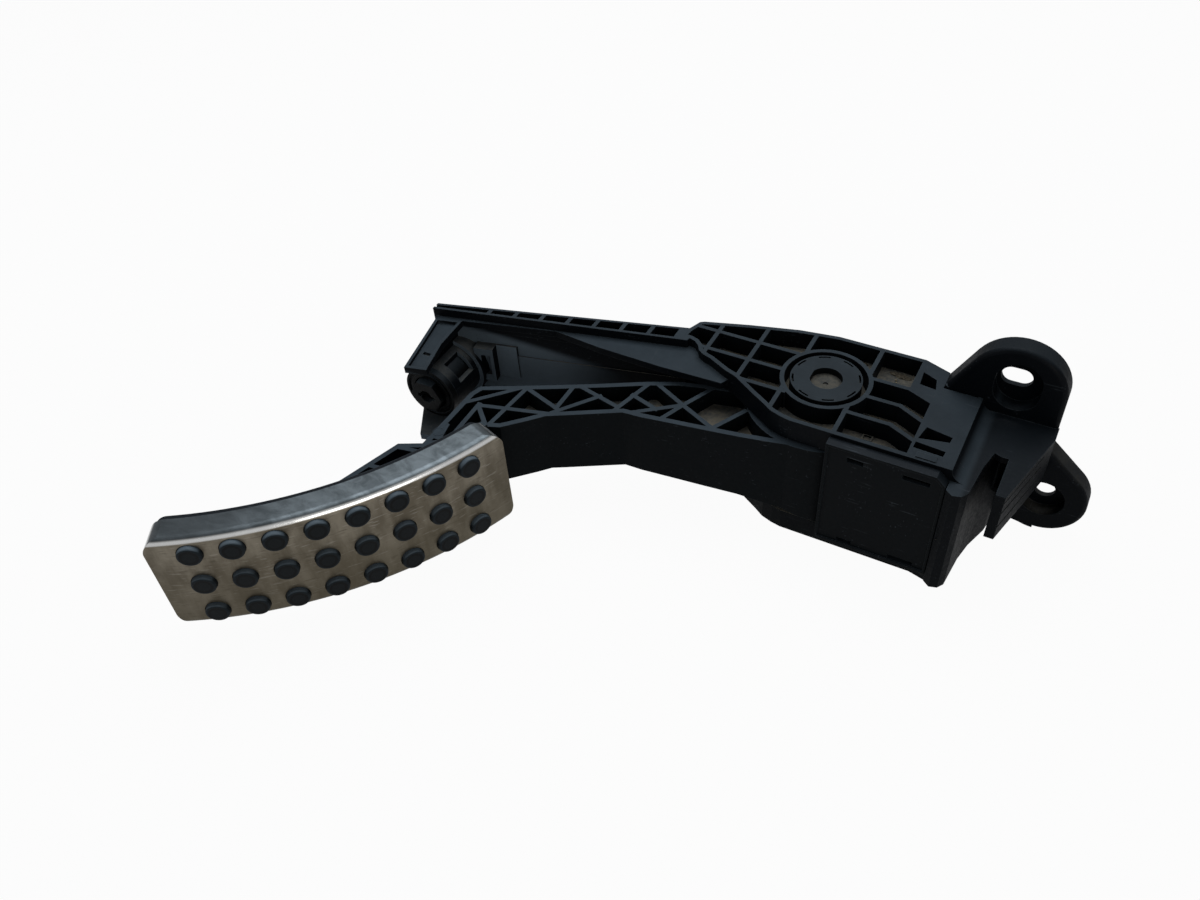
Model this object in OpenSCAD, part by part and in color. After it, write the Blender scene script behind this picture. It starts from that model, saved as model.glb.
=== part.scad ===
// Accelerator pedal module, lying on its side cheek.
// Millimetres, +Z up along the pivot, origin on the pivot axis at the rest plane.
// +X runs from the pivot to the mounting ears, +Y to the wall that the ears bolt to.

/* [Housing] */
// Height of the housing over both cheeks
stack_h = 68; // [64:1:76]
// Thickness of a cheek
cheek_t = 11; // [9:0.5:12]
// Depth of the open cells
cell_d = 9; // [5:0.5:9.5]
// Thickness of the ribs between the cells
rib_t = 2; // [1.6:0.1:3]
// Thickness of the walls
wall_t = 2.6; // [2:0.1:3.2]
// Spacing of the ladder rungs along the spine
rung_pitch = 13.2; // [10:0.2:20]
// Height of the wedge at the foot of the spine
wedge_h = 13; // [8:0.5:13]
// Reach of the wedge at the foot of the spine
wedge_d = 5.5; // [2:0.5:8]

/* [Ears] */
// Distance of the ears' front face from the pivot axis
ear_front = 16; // [15.5:0.1:17]
// Thickness of the ears
ear_t = 9.5; // [8:0.5:12]
// Depth of the counterbores in the ears
ear_sink = 7; // [4:0.5:7.5]
// Radius of the upper ear
ear_top_r = 21; // [18:0.5:22]
// Radius of the lower ear
ear_low_r = 19; // [16:0.5:20]
// Width of both fastener openings
bolt_d = 9; // [6:0.5:10]
// Length of the slot
slot_len = 13.2; // [11:0.2:16]
// Radius of the rounded front edge of the ears
ear_edge = 2.5; // [1:0.5:4]

/* [Connector] */
// Depth of the connector shelf below the top of the housing
shelf_drop = 6; // [4:0.5:8]
// Height of the socket
socket_h = 22; // [16:1:24]
// Width of the socket
socket_w = 10; // [8:0.2:11]
// Thickness of a contact blade
blade_t = 0.8; // [0.5:0.1:1.2]
// Width of a contact blade
blade_w = 2.4; // [1.5:0.1:3]

/* [Cover] */
// Thickness of the sensor cover plate
cover_t = 2; // [1.4:0.1:2.6]
// Depth of the sensor cover
cover_d = 4; // [3.4:0.1:5]
// Thickness of the circuit board
board_t = 1.6; // [1:0.1:2]

/* [Pivot] */
// Radius of the pivot pin
pin_r = 6; // [4:0.5:7]
// Running clearance of the pivot
run_fit = 0.05; // [0.02:0.01:0.1]
// Wall of the bushes
bush_t = 2; // [1.5:0.1:2.5]
// Radius of the notched cap
cap_r = 16; // [13:0.5:16.5]
// Radius of the round well that the cap sits in
well_r = 18.6; // [17.5:0.1:19]
// Gap between a moving side face and its neighbour
side_gap = 1; // [0.8:0.1:1.5]

/* [Arm] */
// Radius of the hub drum on the near side
hub_r = 35.5; // [33:0.5:36]
// Radius of the hub core
core_r = 24; // [23:0.5:25]
// Height of the beam's lower face above the hub's lower face
beam_rise = 10.5; // [6:0.5:14]
// Thickness of the truss ribs
truss_t = 2.2; // [1.6:0.1:3]
// Depth of the open cells in the arm's upper side
truss_d = 9; // [6:0.5:14]
// Thickness of the web between the truss ribs
web_t = 3; // [2:0.5:6]
// Angle that the pedal turns through
travel_deg = 13.5; // [8:0.5:13.5]

/* [Pad] */
// Radius of the curved pad face
pad_r = 215.3; // [212:0.5:220]
// Angle over the pad
pad_sweep = 42; // [36:0.5:43]
// Width of the pad
pad_w = 54; // [50:1:60]
// Depth of the cover's turned-in edge
pad_depth = 13; // [11:0.5:15]
// Thickness of the pad's sheet cover
sheet_t = 1.2; // [0.8:0.1:1.6]
// Radius of the cover's bent edge
edge_r = 4; // [2.5:0.5:5]
// Corner radius of the pad
corner_r = 8; // [5:0.5:10]
// Radius of a stud
stud_r = 5.2; // [4:0.1:6]
// Height of a stud above the cover
stud_h = 2.2; // [1:0.1:3]
// Gap between a stud and its hole
stud_gap = 0.3; // [0.2:0.05:0.5]
// Spacing of the stud rows
row_pitch = 18.5; // [16:0.5:19]
// Angle between the stud columns
col_pitch = 4.58; // [4.2:0.02:4.7]

/* [Kick-down] */
// Radius of the kick-down tube
kick_r = 14.5; // [12.5:0.5:15]
// Width across the flats of the plunger
hex_w = 16; // [13:0.5:17]
// Travel of the plunger
kick_travel = 4; // [2:0.5:5]
// Radius of the spring wires
wire_r = 0.9; // [0.6:0.05:1]

/* [Output] */
// Sub-part to draw

/* [Hidden] */
$fn = 48;

mid_z = stack_h / 2;
top_in = stack_h - cheek_t;
arm_z0 = cheek_t + side_gap;
arm_z1 = top_in - side_gap;
beam_z0 = arm_z0 + beam_rise;
ear_back = ear_front + ear_t;
shelf_z = stack_h - shelf_drop;
near_y0 = 2.5 - hub_r;
pad_a = -39;
pad_mid = [-152.68, -159.49];
pad_c = pad_mid - pad_r * [cos(pad_a), sin(pad_a)];
pad_z0 = mid_z + 5 - pad_w / 2;
kick_x = -185;
kick_z = mid_z + 1;
kick_face = -55.5;
tube_end = kick_face + 3.5;
boss_face = kick_face + 0.5 - kick_travel;
can_gap = 0.1;
spring_z = arm_z1 - 20;

cheek_pts = [[-72, 1], [-67.5, 0.9], [-64.4, -0.1], [-61.8, -2.3], [-59.8, -5.5], [-56.9, -7.4],
    [-52.8, -8.7], [-43, -13.7], [-37.3, -15.7], [-25.8, -23.2], [-19.6, -26.9], [-14.5, near_y0 + 2.7],
    [-9.2, near_y0 + 0.9], [-4.4, near_y0], [64, near_y0], [64, 15], [48, 15], [48, 26.3], [36.2, 30.8],
    [-4.5, 30.8], [-23.1, 28], [-45.9, 21.9], [-66.4, 15.5], [-68.4, 14.2], [-70.8, 7.9]];

arm_pts = [[-124, -80], [-114, -70], [-109, -64.6], [-103.3, -61.5], [-87.4, -52.5],
    [-78.5, -47.5], [-69.8, -46.8], [-55.8, -44.6], [-42, -42.5], [-24, -39.6], [-11, -37],
    [-3, -35.2], [4, -18], [-14, -8], [-36, -10], [-55, -14.5], [-64, -17], [-77, -23], [-97, -34],
    [-118, -45], [-148, -60], [-150, -66], [-150, -104], [-160, -109], [-170, -142]];

tray_pts = [[-192.4, -32.1], [-183.6, -70.7], [-172.6, -68], [-177.6, -48.5], [-178.9, -28.6]];

plate_pts = [[-131, -16.3], [-106, -18.5], [-73, -19], [-43, -18], [-40, -12], [-56, -4], [-69, 3],
    [-130, -14.5], [-192, -29]];

function near_y(x) = -2.1 + 0.2327 * (x + 72.3);
function far_y(x) = 6.7 + 0.2751 * (x + 75.4);
function pad_pt(r, a) = pad_c + r * [cos(a), sin(a)];
function left_of(p, q) = let (d = q - p) [-d[1], d[0]] / norm(d);

// Corners of an outline moved inwards by t, for an outline that runs anticlockwise.
function inset(pts, t) = let (n = len(pts)) [for (i = [0:n - 1])
    let (n1 = left_of(pts[(i + n - 1) % n], pts[i]), n2 = left_of(pts[i], pts[(i + 1) % n]))
    pts[i] + (n1 + n2) * t / (1 + n1 * n2)];

module bar(p, q, w) {
    d = q - p;
    translate(p)
        rotate(atan2(d[1], d[0]))
            translate([-w / 2, -w / 2])
                square([norm(d) + w, w]);
}

module chain(pts, w) {
    for (i = [0:len(pts) - 2])
        bar(pts[i], pts[i + 1], w);
}

// Prism with its section in X and Z, standing from y0 to y1.
module along_y(y0, y1) {
    translate([0, y1, 0])
        rotate([90, 0, 0])
            linear_extrude(y1 - y0)
                children();
}

module turned_over() {
    translate([0, 0, stack_h])
        mirror([0, 0, 1])
            children();
}

module slot_2d(len, d) {
    square([len - d, d], center = true);
    translate([(len - d) / 2, 0])
        circle(d = d);
    translate([(d - len) / 2, 0])
        circle(d = d);
}

// Compression spring from rings tilted to and fro, from z = 0 to z = h.
module coil(r, w, h, turns) {
    pitch = (h - 2 * w) / turns;
    tilt = atan2(pitch / 2, r);
    for (i = [0:turns])
        translate([0, 0, w + i * pitch])
            rotate([0, (i == 0 || i == turns) ? 0 : (i % 2 == 0 ? tilt : -tilt), 0])
                rotate_extrude()
                    translate([r, 0])
                        circle(r = w, $fn = 20);
}

// housing
module cheek_ribs() {
    chain([[-57.3, -8], [-57.3, 19]], rib_t);
    chain([[-36.6, -17], [-36.6, 25]], rib_t);
    chain([[-15.6, -31], [-15.6, -12]], rib_t);
    chain([[-14.5, 14], [-14.5, 30]], rib_t);
    chain([[14.6, -32], [14.6, -14]], rib_t);
    chain([[16.5, 11], [16.5, 30]], rib_t);
    chain([[-68, 11.4], [-17, 11.4]], rib_t);
    chain([[-63, -2.1], [-19, -2.1]], rib_t);
    chain([[-38, -16], [-14, -16]], rib_t);
    chain([[14.5, -17.2], [34.5, -17.2], [46, -22.6]], rib_t);
    chain([[19, -4], [34.7, -4], [46.5, -10]], rib_t);
    chain([[18.7, 8.4], [35.1, 8.4], [46.5, 3.5]], rib_t);
    polygon([[35, 9], [48, 3.5], [48, 28], [35, 31]]);
    translate([45.8, -34])
        square([20, 70]);
    circle(r = well_r + rib_t);
}

module cheek_cells() {
    difference() {
        polygon(inset(cheek_pts, rib_t));
        cheek_ribs();
    }
    polygon([[37.4, 22.1], [38.1, 13.4], [45.5, 12.4], [44, 19.1]]);
    polygon([[48.7, -12.4], [47.3, -20.5], [59.8, -17.8], [60.1, -14.4]]);
    polygon([[47.1, -22.8], [47, -26.6], [59.5, -27.1], [59.8, -23.8]]);
}

module strip_cells() {
    count = floor(118 / rung_pitch);
    for (i = [0:count - 1]) {
        x1 = -75 - i * rung_pitch;
        x0 = i == count - 1 ? -200 : x1 - rung_pitch + rib_t;
        polygon([[x0, near_y(x0) + 1.4], [x1, near_y(x1) + 1.4], [x1, far_y(x1) - 1.4],
            [x0, far_y(x0) - 1.4]]);
    }
}

// One side of the housing, drawn for the upper cheek.
module flange() {
    difference() {
        union() {
            translate([0, 0, top_in])
                linear_extrude(cheek_t) {
                    polygon(cheek_pts);
                    polygon([[-194.5, near_y(-194.5)], [-68, near_y(-68)], [-66, 10],
                        [-70.8, 7.9], [-194.5, far_y(-194.5)]]);
                }
            translate([0, 0, stack_h - 8])
                linear_extrude(3.5)
                    polygon(concat(tray_pts, plate_pts));
        }
        translate([0, 0, stack_h - cell_d])
            linear_extrude(cell_d + 1) {
                cheek_cells();
                strip_cells();
            }
        // sunk panel of the end tray
        translate([0, 0, stack_h - 6.4])
            linear_extrude(5)
                polygon(inset(tray_pts, 1.5));
        translate([-183.2, -57, stack_h - 9])
            cube([4, 2, 6]);
    }
    // web between the end tray and the kick-down tube
    translate([kick_x - 1, -50, kick_z + kick_r - 4])
        cube([2, 24, stack_h - 7.5 - kick_z - kick_r + 4]);
}

module spine() {
    z0 = cheek_t - 2;
    h = stack_h - 2 * z0;
    // raised field on the upper cheek
    translate([49.4, near_y0 + 1.1, stack_h - 1])
        cube([8.5, 3.3, 1.5]);
    translate([0, 0, z0])
        linear_extrude(h) {
            polygon([[-194.5, near_y(-194.5) + 0.5], [-69, near_y(-69) + 0.5],
                [-69, near_y(-69) + 3.1], [-194.5, near_y(-194.5) + 3.1]]);
            polygon([[-74, near_y(-74) + 0.6], [-69, near_y(-69) + 0.6], [-66, 4], [-64, 14],
                [-66.4, 15.5], [-68.4, 14.2], [-70.8, 7.9], [-75, 6.7]]);
            for (i = [0:floor(118 / rung_pitch)]) {
                x = -75 - i * rung_pitch + rib_t / 2;
                translate([x - rib_t / 2, near_y(x) + 1])
                    square([rib_t, far_y(x) - near_y(x) - 1.2]);
            }
            polygon([[-194.5, near_y(-194.5) + 1], [-192, near_y(-192) + 1],
                [-192, far_y(-192)], [-194.5, far_y(-194.5)]]);
            difference() {
                polygon([for (i = [13:len(cheek_pts) - 1]) if (i > 15) cheek_pts[i]]);
                polygon([[-72, 3], [-66.2, 3.5], [-63.5, 13.2], [-45, 19.2], [-22.5, 25.3],
                    [-4, 28.2], [35.7, 28.2], [45.4, 24.4], [45.4, 10], [50, 10]]);
            }
        }
    translate([-71, near_y(-71), cheek_t - 1])
        rotate([0, 0, 180 + atan(0.2327)])
            rotate([90, 0, 90])
                linear_extrude(125)
                    polygon([[-1, 0], [wedge_d, 0], [0.2, wedge_h - 2], [0, stack_h / 2],
                        [-1, stack_h / 2]]);
}

// Block with a pocket where the kick-down tube meets the spine.
module tube_block() {
    difference() {
        translate([0, 0, mid_z - 4])
            linear_extrude(20)
                polygon([[-174, near_y(-174) + 1], [-173, near_y(-173) - 5.4],
                    [-163, near_y(-163) - 5.4], [-163.8, near_y(-163) - 0.8],
                    [-153, near_y(-153) - 0.8], [-153, near_y(-153) + 1]]);
        translate([-169.5, -40, mid_z])
            cube([4.5, 13.4, 12]);
    }
    along_y(-32.5, -25)
        translate([kick_x, kick_z])
            circle(r = kick_r + 2.4);
}

// Sensor chamber and the body to the right of it.
module chamber() {
    z0 = cheek_t - 1;
    h = stack_h - 2 * z0;
    translate([0, 0, z0])
        linear_extrude(h)
            difference() {
                translate([16, near_y0])
                    square([48, 48]);
                circle(r = hub_r + side_gap);
                translate([40, near_y0 + wall_t])
                    square([24 - wall_t, 48 - 2 * wall_t]);
                translate([10, near_y0 + wall_t])
                    square([35, 8]);
                translate([10, -24])
                    square([27.5, 40]);
            }
    translate([0, 0, z0])
        linear_extrude(h)
            translate([37.5, -22])
                square([wall_t, 50]);
}

module side_body() {
    outer = [[62, near_y0], [65, near_y0], [65, -38.7], [68, -41], [71.5, -40], [73.5, -37], [75, -20],
        [77, -10], [81, 2], [83, 15.6], [62, 15.6]];
    difference() {
        translate([0, 0, 4])
            linear_extrude(shelf_z - 4)
                polygon(outer);
        translate([0, 0, 3])
            linear_extrude(shelf_z - 6)
                polygon(inset(outer, wall_t));
        translate([65, -45, mid_z - 1.5])
            cube([1.3, 6, 8]);
    }
    along_y(near_y0, 15.6)
        difference() {
            translate([63, shelf_z - 3])
                square([8, shelf_drop + 3]);
            translate([63 + 8, stack_h])
                circle(r = min(shelf_drop, 7));
        }
}

module connector() {
    wing = [[83.2, -33], [87.2, -33], [97.7, 9.2], [97.7, 15.6], [94.7, 15.6], [94.7, 9.6],
        [86.2, -24], [83.2, -24]];
    z_low = stack_h - 31;
    // shelf
    translate([0, 0, shelf_z - 3])
        linear_extrude(3)
            polygon([[74, -8], [80, -10.5], [83.2, -10.5], [83.2, -33], [87.2, -33], [97.7, 9.2],
                [97.7, 15.6], [74, 15.6]]);
    // wing wall, grooved outside and lower towards the wall side
    difference() {
        translate([0, 0, z_low])
            linear_extrude(shelf_z - z_low - 1)
                polygon(wing);
        for (z = [z_low + 7, z_low + 15, z_low + 21])
            translate([84.9, -40, z])
                rotate([0, 0, -13.95])
                    cube([9, 42, 1.4]);
    }
    // socket, slanted like the wing
    difference() {
        socket_at()
            translate([-socket_w / 2 - 1.5, 0, -socket_h - wall_t])
                cube([socket_w + 3, 20, socket_h + wall_t + 1]);
        socket_at()
            translate([-socket_w / 2, -1, -socket_h])
                cube([socket_w, 14, socket_h]);
        blades(5);
    }
}

module socket_at() {
    translate([84.9, -4, shelf_z - 3])
        rotate([0, 0, -14])
            children();
}

module blades(y0) {
    for (i = [0:2])
        for (j = [0:1])
            socket_at()
                translate([socket_w * (0.4 * j - 0.2) - blade_t / 2, y0,
                    -socket_h * (0.2 + 0.3 * i) - blade_w / 2])
                    cube([blade_t, 18 - y0, blade_w]);
}

// Rounds the front edge of the ears along the line from p to q, with the ear on its left.
module edge_round(p, q) {
    d = q - p;
    lead = 1.5;
    translate([p[0], ear_front, p[1]])
        rotate([0, -atan2(d[1], d[0]), 0])
            translate([-lead, 0, 0])
                rotate([90, 0, 90])
                    linear_extrude(norm(d) + lead)
                        difference() {
                            translate([-1, -1])
                                square(ear_edge + 1);
                            translate([ear_edge, ear_edge])
                                circle(r = ear_edge + 0.06);
                        }
}

// Rounds the front edge of a disc of the ears from angle a0 to a1.
module disc_round(c, r, a0, a1) {
    translate([c[0], ear_front, c[1]])
        rotate([-90, 0, 0])
            rotate([0, 0, -a1])
                rotate_extrude(angle = a1 - a0, $fn = 96)
                    difference() {
                        translate([r - ear_edge, -1])
                            square(ear_edge + 1);
                        translate([r - ear_edge, ear_edge])
                            circle(r = ear_edge + 0.06);
                    }
}

module ears() {
    top_z = stack_h + 7.9;
    low_z = mid_z - 13.8;
    hole_z = low_z + 0.4;
    side_a = 151.5;
    side_p = [76.2, top_z] + (ear_top_r + 0.06) * [cos(side_a), sin(side_a)];
    difference() {
        union() {
            along_y(ear_front, ear_back) {
                translate([76.2, top_z])
                    circle(r = ear_top_r, $fn = 96);
                translate([100, low_z])
                    circle(r = ear_low_r, $fn = 96);
                polygon([[48, top_in], [48, stack_h], side_p, [76.2, top_z], [76.2 + ear_top_r, top_z],
                    [97.4, low_z + 27.6], [100 + 0.7071 * ear_low_r, low_z + 0.7071 * ear_low_r],
                    [100, low_z - ear_low_r], [83, 4], [64, 4], [48, cheek_t]]);
            }
            along_y(15, ear_front + 1)
                polygon([[64, 4], [83, 4], [97.7, shelf_z - 3 - socket_h], [97.7, shelf_z],
                    [64, shelf_z]]);
        }
        disc_round([76.2, top_z], ear_top_r, 0, side_a);
        disc_round([100, low_z], ear_low_r, -90, 45);
        edge_round([97.4, shelf_z + 1.5], [76.2 + ear_top_r, top_z + 1]);
        edge_round([100 + 0.7071 * ear_low_r, low_z + 0.7071 * ear_low_r], [97.4, low_z + 27.6]);
        edge_round(side_p, 0.94 * [48, stack_h] + 0.06 * side_p);
        along_y(ear_front - 3, ear_front + ear_sink)
            translate([77.1, stack_h + 9.9])
                rotate(90)
                    slot_2d(24.3, 19.4);
        along_y(ear_front - 3, ear_back + 1)
            translate([75.3, stack_h + 10])
                slot_2d(slot_len, bolt_d);
        along_y(ear_front - 3, ear_front + ear_sink)
            translate([100, hole_z])
                circle(r = 9.8);
        along_y(ear_front - 3, ear_back + 1)
            translate([100, hole_z])
                circle(d = bolt_d);
        // lightening pockets in the back
        along_y(ear_back - 6, ear_back + 1)
            polygon([[52, cheek_t + 3], [72, 8], [78, 8], [78, 40], [52, 40]]);
        along_y(ear_back - 6, ear_back + 1)
            polygon([[82, 42], [92, 47], [92, 60], [52, 60], [52, 44], [72, 44]]);
    }
}

module kick_tube() {
    along_y(tube_end, -24)
        translate([kick_x, kick_z])
            circle(r = kick_r);
    // skirt under the tube
    translate([0, 0, kick_z - kick_r - 4])
        linear_extrude(3.7)
            polygon([[-194, -29], [-199, -45], [-183.6, -70.7], [-172.6, -68], [-177.6, -48.5],
                [-179, -25.5]]);
}

module housing() {
    color("#1d2024")
        difference() {
            union() {
                flange();
                turned_over()
                    flange();
                spine();
                tube_block();
                chamber();
                side_body();
                connector();
                ears();
                kick_tube();
            }
            // well of the cap and bores of the bushes
            translate([0, 0, stack_h - cell_d])
                cylinder(r = well_r, h = cell_d + 1, $fn = 96);
            translate([0, 0, top_in - 1])
                cylinder(r = pin_r + run_fit + bush_t, h = cheek_t);
            translate([0, 0, 3])
                cylinder(r = pin_r + run_fit + bush_t, h = cheek_t - 2.5);
            translate([0, 0, cheek_t])
                linear_extrude(top_in - cheek_t)
                    circle(r = core_r + 2 + run_fit);
            // holes of the spring legs
            for (p = [[17.5, 0], [0, 13.4]])
                translate([p[0], p[1], top_in - 1])
                    cylinder(r = 1.3, h = 2.8, $fn = 24);
            // bore of the kick-down can, and the window into it
            along_y(tube_end - 1, -30)
                translate([kick_x, kick_z])
                    circle(r = kick_r - 2.5);
            translate([kick_x + 5, -47, kick_z + 5])
                cube([kick_r, 11.5, kick_r]);
        }
}

// cover and electronics
module cover_2d(t) {
    polygon(inset([[13.7, 7], [64.6, 7], [64.6, stack_h - 6], [60.4, stack_h - 2],
        [13.7, stack_h - 2]], t));
}

module sensor_cover() {
    y0 = near_y0 - cover_d;
    color("#24272b")
        difference() {
            union() {
                along_y(y0, near_y0)
                    cover_2d(0);
                along_y(y0 - 0.8, y0 + 1)
                    difference() {
                        cover_2d(0);
                        cover_2d(1.2);
                    }
            }
            along_y(y0 + cover_t, near_y0 + 1)
                cover_2d(wall_t);
            for (s = [[23.2, stack_h - 9.6, 7.2], [47, stack_h - 9.6, 11.5], [23.8, 8.3, 6.8],
                [47.4, 8.3, 11.2]])
                translate([s[0], y0 - 1, s[1]])
                    cube([s[2], cover_t + 2, 2.6]);
        }
}

module cover_seal() {
    color("#101214")
        along_y(near_y0 - 1.4, near_y0)
            difference() {
                cover_2d(wall_t);
                cover_2d(wall_t + 1.6);
            }
}

module circuit_board() {
    color("#1f5a3c")
        difference() {
            translate([19, near_y0 + wall_t, cheek_t])
                cube([42.4, board_t, top_in - cheek_t]);
            for (x = [46, 57])
                for (z = [cheek_t + 4, top_in - 4])
                    translate([x, near_y0, z])
                        rotate([-90, 0, 0])
                            cylinder(r = 1.6, h = 8, $fn = 24);
        }
}

module chip(x, z) {
    color("#202020")
        translate([x, near_y0 + wall_t + board_t, z])
            cube([5, 1.2, 5]);
}

module sensor_chip_a() {
    chip(20.5, mid_z - 14);
}

module sensor_chip_b() {
    chip(20.5, mid_z - 6);
}

module connector_pins() {
    color("#b9a06a")
        blades(7);
}

// pivot
module pivot_pin() {
    color("#c8c8c8")
        translate([0, 0, 3.3])
            difference() {
                cylinder(r = pin_r, h = stack_h - 8);
                translate([0, 0, stack_h - cell_d - 3.3 + 1.5])
                    difference() {
                        cylinder(r = pin_r + 1, h = 1.2);
                        translate([0, 0, -1])
                            cylinder(r = pin_r - 1, h = 4);
                    }
            }
}

module bush(z0, z1, zf) {
    difference() {
        union() {
            translate([0, 0, z0])
                cylinder(r = pin_r + run_fit + bush_t, h = z1 - z0);
            translate([0, 0, zf])
                cylinder(r = pin_r + run_fit + bush_t + 2, h = side_gap - 0.1);
        }
        translate([0, 0, z0 - 1])
            cylinder(r = pin_r + run_fit, h = z1 - z0 + 2);
    }
}

module bush_upper() {
    color("#8d8a80")
        bush(arm_z1 + 0.1, stack_h - cell_d, arm_z1 + 0.1);
}

module bush_lower() {
    color("#8d8a80")
        bush(3, arm_z0 - 0.1, cheek_t);
}

module retaining_clip() {
    color("#7d7f82")
        translate([0, 0, stack_h - cell_d + 1.5])
            difference() {
                cylinder(r = pin_r + 3, h = 1.2);
                translate([0, 0, -1])
                    cylinder(r = pin_r - 1, h = 4);
                translate([0, -1.5, -1])
                    cube([20, 3, 4]);
            }
}

module pivot_cap() {
    z0 = stack_h - cell_d + 3.2;
    color("#1b1e21")
        difference() {
            translate([0, 0, z0])
                cylinder(r = cap_r, h = stack_h - z0, $fn = 96);
            translate([0, 0, z0 - 1])
                cylinder(r = pin_r, h = stack_h - 4.7 - z0 + 1);
            // round recess with one flat side
            translate([0, 0, stack_h - 3.4])
                linear_extrude(5)
                    difference() {
                        circle(r = 7.3);
                        translate([-12, -10])
                            square([5.2, 20]);
                    }
            for (i = [0:7])
                translate([0, 0, stack_h - 2.5])
                    rotate([0, 0, 12 + 45 * i])
                        rotate_extrude(angle = 21, $fn = 96)
                            translate([cap_r - 1.6, 0])
                                square([0.9, 4]);
            translate([0, 0, stack_h - 4])
                cylinder(r = 1.2, h = 2, $fn = 24);
        }
}

// arm
module arm_outline() {
    polygon(concat(arm_pts, [for (i = [0:5]) pad_pt(pad_r - pad_depth - 5.3, -40.5 + i * 4.6)]));
}

module truss_2d() {
    w = truss_t;
    chain([[-149, -73.3], [-130, -52.8]], w);
    chain([[-141.7, -70.8], [-140.6, -100]], w);
    chain([[-140.5, -72.6], [-129.9, -82.6], [-127.2, -50]], w);
    chain([[-141.3, -71.4], [-108, -62.4]], w);
    chain([[-127.3, -51.5], [-107.6, -57.8], [-107.8, -40.8]], w);
    chain([[-107.5, -61], [-93.2, -41.9]], w);
    chain([[-105.2, -39.6], [-82, -45.1], [-76, -22.4]], w);
    chain([[-82, -45.1], [-83, -50]], w);
    chain([[-79.7, -34.7], [-65.7, -38.9]], w);
    chain([[-74.5, -45.3], [-55.8, -31.2], [-48, -14]], w);
    chain([[-74, -22.2], [-55.8, -31.2], [-36, -40.3]], w);
    chain([[-61, -44.1], [-55.8, -31.2]], w);
    chain([[-37.5, -39.6], [-28.8, -23]], w);
    chain([[-150, -104], [-133, -92]], w);
    chain([[-160, -111], [-142, -108]], w);
    chain([[-165, -126], [-150, -124]], w);
    circle(r = hub_r);
}

// Room under the beam, which rises from the hub to the pad.
module under_beam() {
    along_y(-220, 40)
        polygon([[-400, 0], [-400, beam_z0], [-78, beam_z0], [-24, beam_z0 - 3], [12, arm_z0],
            [12, 0]]);
}

module hub_drum() {
    intersection() {
        circle(r = hub_r, $fn = 96);
        polygon([[0, 0], 60 * [cos(187), sin(187)], 60 * [cos(225), sin(225)],
            60 * [cos(262), sin(262)], 60 * [cos(292), sin(292)]]);
    }
}

module pedal_arm() {
    t = 2.6;
    low_d = arm_z1 - beam_z0 - web_t - truss_d;
    color("#1f2226")
        difference() {
            union() {
                difference() {
                    translate([0, 0, arm_z0])
                        linear_extrude(arm_z1 - arm_z0)
                            arm_outline();
                    under_beam();
                    for (z = [arm_z1 - truss_d, arm_z0 - 1])
                        translate([0, 0, z])
                            linear_extrude(z > arm_z0 ? truss_d + 1 : beam_rise + low_d + 1)
                                difference() {
                                    polygon(inset(concat(arm_pts, [for (i = [0:5])
                                        pad_pt(pad_r - pad_depth - 5.3, -40.5 + i * 4.6)]), t));
                                    truss_2d();
                                }
                }
                translate([pad_c[0], pad_c[1], beam_z0 - 1])
                    rotate([0, 0, -41])
                        rotate_extrude(angle = 24.1, $fn = 180)
                            translate([pad_r - pad_depth - 7, 0])
                                square([3.7, arm_z1 - beam_z0 + 2]);
                // stop face that meets the kick-down plunger
                rotate([0, 0, travel_deg])
                    translate([kick_x - 5, boss_face - 15.3, beam_z0])
                        cube([10, 15, kick_z + 8 - beam_z0]);
                difference() {
                    translate([0, 0, arm_z0])
                        linear_extrude(arm_z1 - arm_z0)
                            hub_drum();
                    under_beam();
                }
                translate([0, 0, arm_z0])
                    cylinder(r = core_r, h = arm_z1 - arm_z0, $fn = 96);
            }
            translate([0, 0, arm_z0 - 1])
                cylinder(r = pin_r, h = stack_h);
            // ring pocket of the return springs
            translate([0, 0, spring_z])
                difference() {
                    cylinder(r = 20.5, h = 40);
                    translate([0, 0, -1])
                        cylinder(r = 11, h = 50);
                }
            for (p = [[-17.5, 0], [0, -13.4]])
                translate([p[0], p[1], spring_z - 3])
                    cylinder(r = 1.3, h = 4, $fn = 24);
            // seat of the magnet
            rotate([0, 0, -48])
                translate([core_r - 4, -3, mid_z - 16])
                    cube([5, 6, 14]);
            // slots that lighten the drum
            for (a = [198, 216, 234, 252, 270])
                rotate([0, 0, a])
                    translate([core_r + 2.5, -2.2, arm_z0 - 1])
                        cube([6, 4.4, 12]);
        }
}

module rotor_magnet() {
    color("#55585c")
        rotate([0, 0, -48])
            translate([core_r - 4, -3, mid_z - 16])
                cube([3.7, 6, 14]);
}

module torsion(r, w, turns, legs) {
    rise = 2 * w - 0.1;
    for (i = [0:turns - 1])
        translate([0, 0, spring_z + 1 + w + i * rise])
            rotate_extrude()
                translate([r, 0])
                    circle(r = w, $fn = 20);
    translate([legs[0][0], legs[0][1], spring_z + 1 + w + (turns - 1) * rise])
        cylinder(r = w, h = top_in + 1.5 - spring_z - 1 - w - (turns - 1) * rise, $fn = 20);
    translate([legs[1][0], legs[1][1], spring_z - 2.5])
        cylinder(r = w, h = 3.5 + w, $fn = 20);
}

module return_spring_outer() {
    color("#8f9296")
        torsion(17.5, 1.1, 6, [[17.5, 0], [-17.5, 0]]);
}

module return_spring_inner() {
    color("#8f9296")
        torsion(13.4, 1, 6, [[0, 13.4], [0, -13.4]]);
}

module friction_shoe() {
    color("#3a3a36")
        translate([0, 0, mid_z - 10])
            linear_extrude(20)
                difference() {
                    intersection() {
                        circle(r = core_r + 5);
                        polygon([[0, 0], [60, -18], [60, 18]]);
                    }
                    circle(r = core_r + run_fit, $fn = 96);
                }
}

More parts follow.
